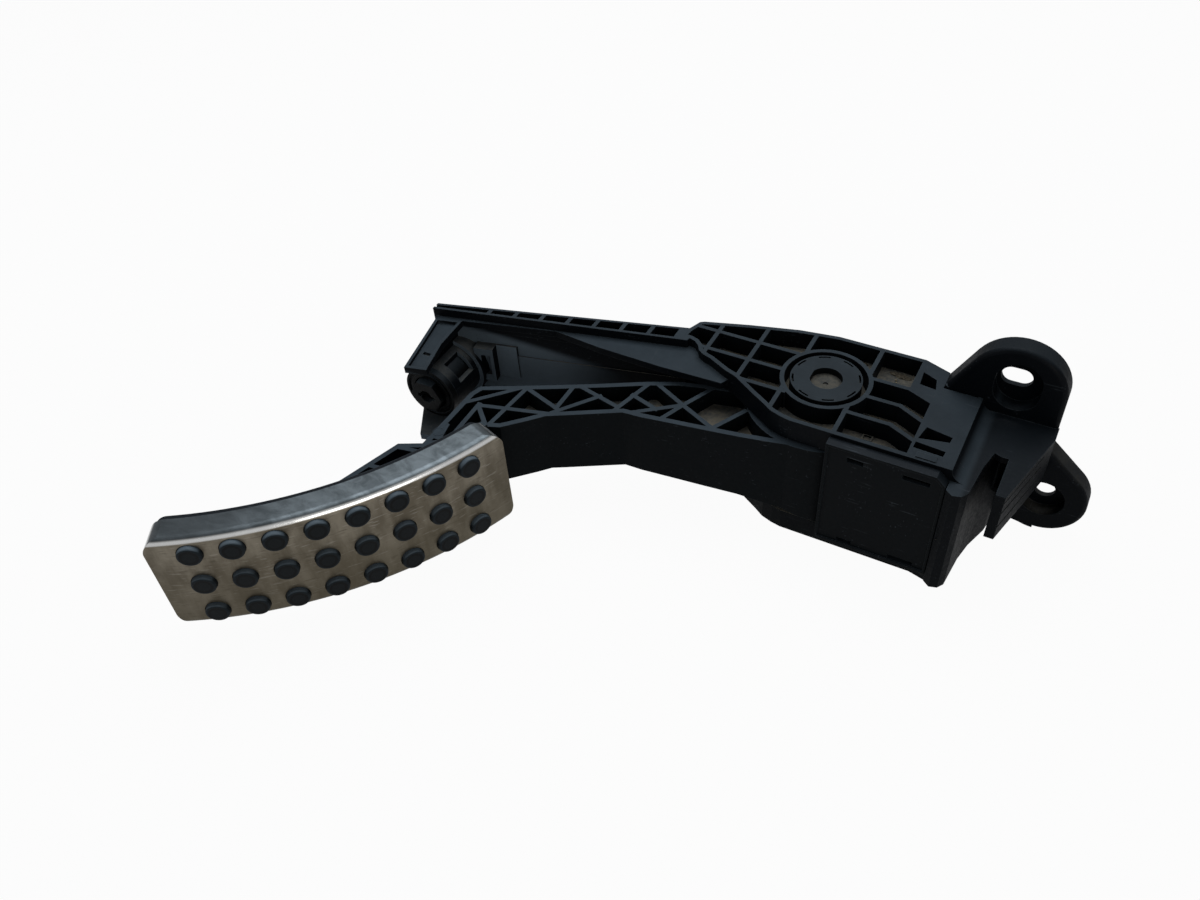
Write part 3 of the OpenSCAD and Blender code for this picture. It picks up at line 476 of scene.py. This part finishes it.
finishes = {
    "housing": housing_nylon, "sensor_cover": cover_nylon, "cover_seal": soft_rubber,
    "circuit_board": laminate, "sensor_chip_a": epoxy, "sensor_chip_b": epoxy,
    "connector_pins": brass, "pivot_pin": ground_steel, "bush_upper": bronze, "bush_lower": bronze,
    "retaining_clip": spring_wire, "pivot_cap": cap_nylon, "pedal_arm": arm_nylon,
    "rotor_magnet": ferrite, "return_spring_outer": spring_wire, "return_spring_inner": spring_wire,
    "friction_shoe": acetal, "shoe_spring": spring_wire, "rest_bumper": soft_rubber,
    "pad_carrier": carrier_nylon, "rubber_pad": stud_rubber, "pad_cover": pad_sheet,
    "kickdown_body": plunger_nylon, "kickdown_cap": plunger_nylon, "kickdown_plunger": plunger_nylon,
    "kickdown_spring": spring_wire}
for name, mat in finishes.items():
    paint(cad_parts[name], mat)
print("dressed nodes:", len(finishes))

# %% [markdown]
# Now the small things that the solids leave out. All but the springs start as a primitive, which
# is shaped with the edit-mode operators, gets its finish, and then rides on the body that carries
# it. Four helpers save typing: one leaves a single object selected, one picks faces by a test, one
# adds a starting block, and one hands a piece over.


# %% Modelling helpers
def alone(thing):
    """Goes to object mode, and leaves only this thing selected, and active."""
    if bpy.context.mode != "OBJECT":
        bpy.ops.object.mode_set(mode="OBJECT")
    bpy.ops.object.select_all(action="DESELECT")
    thing.select_set(True)
    bpy.context.view_layer.objects.active = thing


def pick(thing, test):
    """Selects the faces whose normal and centre pass the test, and goes into edit mode."""
    alone(thing)
    bpy.context.tool_settings.mesh_select_mode = (False, False, True)
    bpy.ops.object.mode_set(mode="EDIT")
    bpy.ops.mesh.select_all(action="DESELECT")
    bpy.ops.object.mode_set(mode="OBJECT")
    for face in thing.data.polygons:
        face.select = test(face.normal, face.center)
    bpy.ops.object.mode_set(mode="EDIT")


def block(low, high):
    """A box between two corners in mm, as the start of a piece."""
    bpy.ops.object.select_all(action="DESELECT")
    bpy.ops.mesh.primitive_cube_add(size=1)
    thing = bpy.context.object
    thing.location = [(a + b) / 2000 for a, b in zip(low, high)]
    thing.scale = [(b - a) / 1000 for a, b in zip(low, high)]
    bpy.ops.object.transform_apply(location=True, rotation=True, scale=True)
    return thing


def hand_over(thing, name, mat, body):
    """Ends the modelling of a piece: place applied, named, painted and set on its body."""
    alone(thing)
    bpy.ops.object.transform_apply(location=True, rotation=True, scale=True)
    thing.name = thing.data.name = name
    paint(thing, mat)
    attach(thing, body)


print("modelling helpers ready")

# %% [markdown]
# Three springs work inside: two wound up by the arm and one pressed by the plunger. A spring is
# drawn as its wire's path, a curve with a round section, and then made a mesh. The return springs
# have one leg in the housing and one in the arm.

# %% Wound springs
points_a_turn = 28


def helix(radius, turns, low, high, start, flat_ends=0.0):
    """Points of a coil round the Z axis, in mm. flat_ends is the share of the turns that lies flat
    at either end."""
    count = int(turns * points_a_turn)
    points = []
    for i in range(count + 1):
        share = i / count
        rise = min(max((share - flat_ends) / (1 - 2 * flat_ends), 0), 1)
        turn = start + 2 * math.pi * turns * share
        points.append((radius * math.cos(turn), radius * math.sin(turn), low + (high - low) * rise))
    return points


def wound(name, path, wire_r, replaced):
    """The wire along a path in mm, as a mesh with closed ends that stands for a CAD spring."""
    curve = bpy.data.curves.new(name, "CURVE")
    curve.dimensions = "3D"
    curve.bevel_depth = wire_r / 1000
    curve.bevel_resolution = 2
    curve.use_fill_caps = True
    line = curve.splines.new("POLY")
    line.points.add(len(path) - 1)
    for point, place in zip(line.points, path):
        point.co = [v / 1000 for v in place] + [1]
    thing = bpy.data.objects.new(name, curve)
    bpy.context.scene.collection.objects.link(thing)
    alone(thing)
    bpy.ops.object.convert(target="MESH")
    bpy.ops.object.shade_smooth_by_angle(angle=math.radians(40))
    thing.name = thing.data.name = name
    paint(thing, spring_wire)
    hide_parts(replaced)
    return thing


print("spring helpers ready")

# %% Return springs, one inside the other
# how often the wire goes round, and the height in mm of the floor that its lowest turn lies on
return_turns, spring_floor = 5.5, 37
# radius of the coil, radius of the wire, place round the axis of the leg in the arm
for name, coil_r, wire_r, start in (("return_spring_outer", 17.5, 1.1, math.pi),
                                    ("return_spring_inner", 13.4, 1.0, -math.pi / 2)):
    foot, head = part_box(name)[0][2] * 1000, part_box(name)[1][2] * 1000
    first = spring_floor + wire_r
    # the coil is as high as six rings of the wire that press on each other
    last = first + 5 * (2 * wire_r - 0.1)
    path = helix(coil_r, return_turns, first, last, start)
    lower, upper = path[0][:2], path[-1][:2]
    # the wire leaves the coil in a short bend, and then runs straight into its hole
    path = [lower + (z,) for z in (foot, first - 1.6, first - 0.6)] + path[2:-2]
    path += [upper + (z,) for z in (last + 0.6, last + 1.6, head)]
    coil = wound("wound_" + name, path, wire_r, name)
    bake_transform(coil)
    print(coil.name, "faces:", len(coil.data.polygons))

# %% Plunger spring
low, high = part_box("kickdown_spring")
middle = [(a + b) * 500 for a, b in zip(low, high)]
wire_r = 0.9
coil_r = (high[0] - low[0]) * 500 - wire_r
path = [(middle[0] + x, z, middle[2] + y)
        for x, y, z in helix(coil_r, 7, low[1] * 1000 + wire_r, high[1] * 1000 - wire_r, 0, 0.08)]
coil = wound("wound_plunger_spring", path, wire_r, "kickdown_spring")
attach(coil, "housing_body")
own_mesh(coil)

# %% [markdown]
# The sensor cover is held by four snap tongues of the housing. Each shows in its slot: a short
# tongue whose front narrows to a barb, so that the cover can slide over it and then stays.

# %% Snap tongues in the cover's slots
# the slot's two sides and the tongue's underside, then the play in the slot, all in mm
tongues = (("tongue_top_left", 23.7, 29.9, 59.5), ("tongue_top_right", 47.5, 58.0, 59.5),
           ("tongue_low_left", 24.3, 30.1, 8.5), ("tongue_low_right", 47.9, 58.1, 8.5))
play = 0.6
for name, x0, x1, z in tongues:
    tongue = block((x0 + play, -33.9, z), (x1 - play, -33.1, z + 1.1))
    pick(tongue, lambda n, c: n.y < -0.9)
    bpy.ops.mesh.extrude_region_move(TRANSFORM_OT_translate={"value": (0, -0.0005, 0)})
    bpy.ops.transform.resize(value=(0.96, 1, 0.4))
    bpy.ops.mesh.select_all(action="SELECT")
    bpy.ops.mesh.bevel(offset=0.00015, segments=2, affect="EDGES")
    hand_over(tongue, name, plunger_nylon, "housing_body")
print("snap tongues:", len(tongues))

# %% [markdown]
# On the floor of the cheek's last cell stands a low square frame, the trace of a core in the
# mould. The arm's head has a small gusset in its corner with a round ejector mark on it.

# %% Trace of a core
cell_floor = 59.0
bpy.ops.object.select_all(action="DESELECT")
bpy.ops.mesh.primitive_plane_add(size=0.0046, location=(0.0266, -0.0205, cell_floor / 1000))
core_mark = bpy.context.object
bpy.ops.transform.resize(value=(1, 0.75, 1))
pick(core_mark, lambda n, c: True)
bpy.ops.mesh.inset(thickness=0.0006)
bpy.ops.mesh.delete(type="FACE")
bpy.ops.mesh.select_all(action="SELECT")
bpy.ops.mesh.extrude_region_move(TRANSFORM_OT_translate={"value": (0, 0, 0.0009)})
bpy.ops.mesh.select_all(action="SELECT")
bpy.ops.mesh.normals_make_consistent(inside=False)
hand_over(core_mark, "core_mark", housing_nylon, "housing_body")
print("core mark faces:", len(core_mark.data.polygons))

# %% Ejector mark and gusset at the arm's head
bpy.ops.object.select_all(action="DESELECT")
bpy.ops.mesh.primitive_cylinder_add(vertices=48, radius=0.0027, depth=0.0006,
                                    location=(-0.1479, -0.0946, 0.0558))
ejector = bpy.context.object
pick(ejector, lambda n, c: n.z > 0.9)
bpy.ops.mesh.inset(thickness=0.0003)
bpy.ops.mesh.extrude_region_move(TRANSFORM_OT_translate={"value": (0, 0, -0.0002)})
bpy.ops.mesh.inset(thickness=0.0002)
hand_over(ejector, "ejector_mark", arm_nylon, "pedal_body")

gusset = block((-150.0, -99.0, 54.4), (-143.0, -88.0, 55.96))
pick(gusset, lambda n, c: n.y > 0.9)
bpy.ops.transform.resize(value=(0.55, 1, 1), center_override=(-0.15, -0.088, 0.055))
pick(gusset, lambda n, c: n.y < -0.9)
bpy.ops.transform.resize(value=(0.9, 1, 1), center_override=(-0.15, -0.099, 0.055))
bpy.ops.mesh.select_all(action="SELECT")
bpy.ops.mesh.bevel(offset=0.0002, segments=2, affect="EDGES")
hand_over(gusset, "head_gusset", arm_nylon, "pedal_body")
print("faces of the mark and the gusset:", len(ejector.data.polygons), len(gusset.data.polygons))

# %% [markdown]
# Two small webs of the moulding close what light would otherwise show through: the floor of the
# notch in the end plate, and the corner under the sensor cover, where the near wall swells out
# to meet the end wall.

# %% Closing webs
notch_floor = block((-184.6, -57.6, 59.5), (-180.4, -52.8, 60.15))
pick(notch_floor, lambda n, c: n.z < -0.9)
bpy.ops.mesh.inset(thickness=0.0008)
bpy.ops.transform.translate(value=(0, 0, -0.0004))
bpy.ops.mesh.select_all(action="SELECT")
bpy.ops.mesh.bevel(offset=0.0001, segments=2, affect="EDGES")
hand_over(notch_floor, "notch_floor", housing_nylon, "housing_body")

corner_web = block((56.0, -37.4, 0.5), (66.8, -32.9, 6.8))
pick(corner_web, lambda n, c: n.x < -0.9)
bpy.ops.transform.resize(value=(1, 0.1, 1), center_override=(0.056, -0.0329, 0.0036))
pick(corner_web, lambda n, c: n.z < -0.9)
bpy.ops.transform.resize(value=(1, 0.7, 1), center_override=(0.060, -0.0329, 0.0005))
bpy.ops.mesh.select_all(action="SELECT")
bpy.ops.mesh.bevel(offset=0.0003, segments=2, affect="EDGES")
hand_over(corner_web, "corner_web", housing_nylon, "housing_body")
print("faces of the webs:", len(notch_floor.data.polygons), len(corner_web.data.polygons))

# %% [markdown]
# Years on a car's floor leave more than a film. Low drifts of dust lie against the cell walls,
# and crumbs of grit lie about on the floors. Each starts as a ball of triangles, which one
# function flattens, turns and roughens. A drift is a piece of its own, and the crumbs are joined.


# %% Road dust and its lumps
def road_dust(name, dark, pale):
    mat, tree = fresh_material(name)
    place = node(tree, "TexCoord", out="Object")
    lump = node(tree, "TexNoise", place, Scale=1000 / 1.1, Detail=4, Roughness=0.65)
    shade = node(tree, "MapRange", lump, 0.35, 0.65, **smooth)
    colour = node(tree, "Mix", shade, dark, pale, **colours)
    bump = node(tree, "Bump", Height=lump, Strength=0.8, Distance=0.0003)
    skin = node(tree, "BsdfPrincipled", Base_Color=colour, Normal=bump, Roughness=0.95,
                Specular_IOR_Level=0.1)
    node(tree, "OutputMaterial", Surface=skin)
    return mat


def lump_at(where, size, turn, level, rough):
    """A flattened, uneven lump; where, size and rough in mm, turn in radians."""
    bpy.ops.object.select_all(action="DESELECT")
    bpy.ops.mesh.primitive_ico_sphere_add(subdivisions=level, radius=1)
    thing = bpy.context.object
    thing.scale = [v / 2000 for v in size]
    thing.rotation_euler = (0, 0, turn)
    thing.location = [v / 1000 for v in where]
    bpy.ops.object.transform_apply(location=True, rotation=True, scale=True)
    bpy.ops.object.mode_set(mode="EDIT")
    bpy.ops.mesh.select_all(action="SELECT")
    bpy.ops.transform.vertex_random(offset=rough / 1000, uniform=0.3, normal=0.2,
                                    seed=int(where[0] * 7) % 50 + 1)
    bpy.ops.object.mode_set(mode="OBJECT")
    return thing


drift_dust = road_dust("packed_road_dust", "332f29", "5c5548")
grit_stone = road_dust("loose_grit", "6a5f4c", "988b72")
print("dust finishes:", 2)

# %% Dust drifts
# where the drift lies on the cell floor, its length and width, its turn in degrees
drifts = [(-48, 8.6, 13, 3.2, 2), (-28, 8.8, 9, 3, -4), (-26, 19.5, 12, 3.4, 14), (4, 27.2, 16, 3.2, 2),
          (27, 25.8, 11, 3.4, -8), (27, 5.6, 10, 2.6, 0), (26, -6.6, 11, 2.6, 0), (27, -28.6, 16, 2.8, 0),
          (-2, -27.5, 14, 3.6, 0), (-30, -4.9, 9, 2.6, 0), (-46, 18.4, 12, 2.8, 15)]
drift_high, drift_rough = 1.3, 0.25
for k, (x, y, long, wide, turn) in enumerate(drifts):
    drift = lump_at((x, y, cell_floor - 0.05), (long, wide, drift_high), math.radians(turn), 3, drift_rough)
    hand_over(drift, "dust_drift_%02d" % (k + 1), drift_dust, "housing_body")
print("drifts:", len(drifts))

# %% Crumbs of grit
# cells in which grit lies: low corner and high corner, in mm
cells = [(-54, 1, -39, 9), (-34, 0, -22, 9), (-34, 13, -17, 23), (-11, 21, 14, 28), (20, 12, 33, 26),
         (21, -2, 33, 6), (20, -14, 33, -6), (17, -30, 44, -25), (-13, -29, 12, -23), (-33, -13, -23, -5),
         (-86, 0, -79, 2), (-99, -4, -92, -2), (-112, -7, -105, -5)]
# each crumb's place and size come from its number by steps that never line up
crumbs = []
for k in range(4 * len(cells)):
    x0, y0, x1, y1 = cells[k % len(cells)]
    along = (k * 0.618) % 1
    across = (k * 0.377 + 0.2) % 1
    size = 0.5 + 0.7 * ((k * 0.731) % 1)
    place = (x0 + (x1 - x0) * along, y0 + (y1 - y0) * across, cell_floor + size * 0.3)
    crumbs.append(lump_at(place, (size, size * 0.8, size * 0.7), k * 1.3, 1, size * 0.12))
alone(crumbs[0])
for crumb in crumbs:
    crumb.select_set(True)
bpy.ops.object.join()
hand_over(crumbs[0], "grit", grit_stone, "housing_body")
print("crumbs:", 4 * len(cells))

# %% [markdown]
# The floor is one pale sheet. The camera sees it as plain white, with a trace of the shadow left
# so that the part stands on something. Gloss on the part mirrors it at less than half of white.

# %% Floor
seen_white, mirrored_white = 0.96, 0.4
bpy.ops.object.select_all(action="DESELECT")
bpy.ops.mesh.primitive_plane_add(size=6, location=(0, 0, 0))
floor = bpy.context.object
floor.name = "floor"
mat, tree = fresh_material("pale_floor")
ray = node(tree, "LightPath").node.outputs
mirrored = node(tree, "Math", ray["Is Glossy Ray"], ray["Is Transmission Ray"], operation="MAXIMUM")
seen = node(tree, "Math", node(tree, "Math", ray["Is Camera Ray"], seen_white, **times),
            node(tree, "Math", mirrored, mirrored_white, **times), operation="MAXIMUM")
card = node(tree, "BsdfDiffuse", Color=(0.45, 0.45, 0.45, 1))
glow = node(tree, "Emission", Color=(1, 1, 1, 1), Strength=1.0)
node(tree, "OutputMaterial", Surface=node(tree, "MixShader", seen, card, glow))
floor.data.materials.append(mat)
print("floor:", floor.name)

# %% World
world = bpy.context.scene.world or bpy.data.worlds.new("studio")
bpy.context.scene.world = world
world.use_nodes = True
tree = world.node_tree
tree.nodes.clear()
ray = node(tree, "LightPath").node.outputs
mirrored = node(tree, "Math", ray["Is Glossy Ray"], ray["Is Transmission Ray"], operation="MAXIMUM")
seen = node(tree, "Math", ray["Is Camera Ray"], node(tree, "Math", mirrored, mirrored_white, **times),
            operation="MAXIMUM")
fill = node(tree, "Background", Color=(0.75, 0.8, 0.88, 1), Strength=0.12)
white = node(tree, "Background", Color=(1, 1, 1, 1), Strength=1.0)
node(tree, "OutputWorld", Surface=node(tree, "MixShader", seen, fill, white))
bpy.context.scene.view_settings.view_transform = "Standard"
print("world:", world.name)
